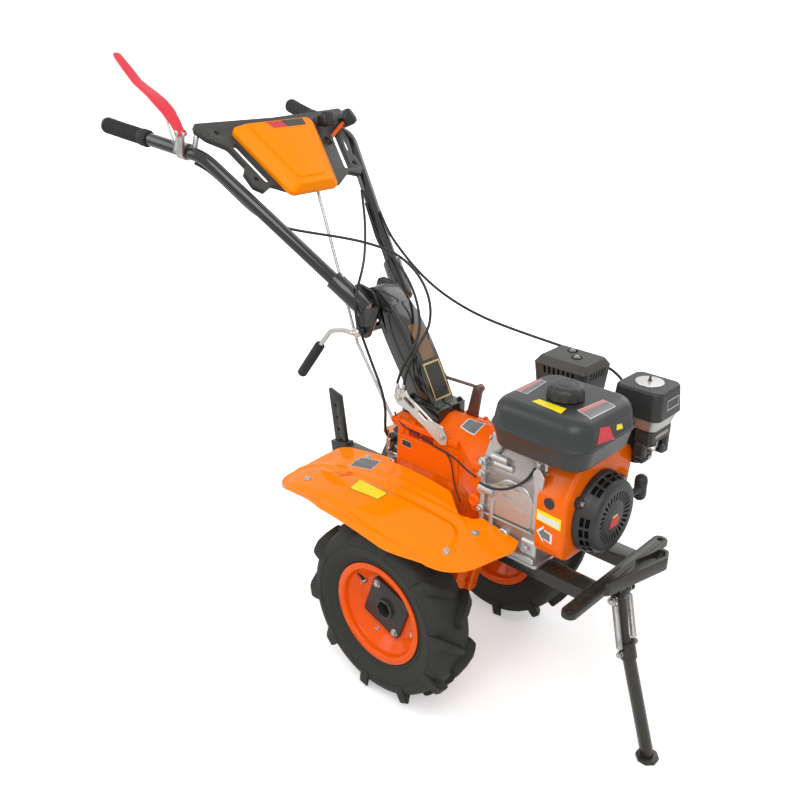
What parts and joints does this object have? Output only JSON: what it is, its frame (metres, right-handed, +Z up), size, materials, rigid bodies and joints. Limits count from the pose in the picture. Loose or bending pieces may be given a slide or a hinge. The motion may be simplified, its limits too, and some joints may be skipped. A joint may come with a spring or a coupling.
{
  "type": "power weeder",
  "caption": "Walk-behind petrol power weeder on rubber farm tyres, with a gear case, fenders, folding front stand, rear depth stake and tilting handlebars.",
  "frame": {"origin": "middle of the footprint box, on the floor", "axes": "+X is the way it drives, +Y its left side, +Z up"},
  "size_m": [1.3494, 0.5682, 1.269],
  "materials": {
    "orange_paint": "gloss enamel",
    "orange_shroud": "gloss enamel",
    "orange_plastic": "satin moulded",
    "black_paint": "gloss enamel",
    "black_plastic": "fine grain",
    "tank_black": "satin enamel",
    "muffler_black": "heat resistant matt",
    "cast_aluminium": "cast",
    "dark_metal": "oiled",
    "zinc": "zinc plated",
    "lever_steel": "plated",
    "red_paint": "satin enamel",
    "rubber": "matt",
    "knob_plastic": "satin moulded",
    "tyre_rubber": "matt"
  },
  "bodies": {
    "frame": {"air_cleaner_base": "cast_aluminium", "air_cleaner_cover": "black_plastic", "bell_housing": "orange_paint", "cable_bracket": "zinc", "carburettor": "dark_metal", "clutch_cable": "rubber", "crankcase": "cast_aluminium", "cross_bar": "black_paint", "cylinder_block": "cast_aluminium", "drive_case": "orange_paint", "engine_plate": "black_paint", "fan_shroud": "orange_shroud", "fender_left": "orange_paint", "fender_right": "orange_paint", "fender_straps": "black_paint", "frame_rails": "black_paint", "fuel_cap": "black_plastic", "fuel_tank": "tank_black", "gear_arm": "dark_metal", "gearbox_cover": "orange_paint", "gearbox_housing": "orange_paint", "guard_strip": "black_paint", "handle_column": "black_paint", "hitch_frame": "black_paint", "muffler_cover": "muffler_black", "muffler_pipe": "dark_metal", "recoil_cover": "black_plastic", "reverse_cable": "rubber", "shift_cable": "rubber", "shift_rod": "zinc", "stake_socket": "black_paint", "stand_lugs": "black_paint", "starter_grip": "black_plastic", "throttle_cable": "rubber"},
    "wheels": {"axle_shaft": "dark_metal", "hub_left": "black_paint", "hub_right": "black_paint", "rim_left": "orange_paint", "rim_right": "orange_paint", "tyre_left": "tyre_rubber", "tyre_right": "tyre_rubber"},
    "stand": {"stand_leg": "black_paint", "stand_foot": "black_paint", "stand_springs": "zinc"},
    "handlebar": {"handle_yoke": "black_paint", "handlebar_left": "black_paint", "handlebar_right": "black_paint", "grips": "rubber", "control_panel": "black_plastic", "panel_hood": "orange_plastic", "tube_clamps": "zinc", "clutch_lever": "red_paint", "shift_levers": "knob_plastic", "clamp_lever": "lever_steel"},
    "depth_bar": {"depth_stake": "black_paint"}
  },
  "joints": [
    {"name": "wheel_roll", "type": "hinge", "parent": "frame", "child": "wheels", "pos_m": [0.1314, 0, 0.205], "axis": [0, 1, 0], "continuous": true},
    {"name": "handlebar_tilt", "type": "hinge", "parent": "frame", "child": "handlebar", "pos_m": [-0.0766, 0, 0.79], "axis": [0, 1, 0], "range_deg": [-25, 20], "deforming": ["clutch_cable", "reverse_cable", "shift_cable", "throttle_cable", "shift_rod"]},
    {"name": "stand_fold", "type": "hinge", "parent": "frame", "child": "stand", "pos_m": [0.5554, 0, 0.346], "axis": [0, 1, 0], "range_deg": [0, 65]},
    {"name": "depth_bar_slide", "type": "slide", "parent": "frame", "child": "depth_bar", "axis": [-0.1564, 0, 0.9877], "range_m": [-0.09, 0.12]}
  ]
}
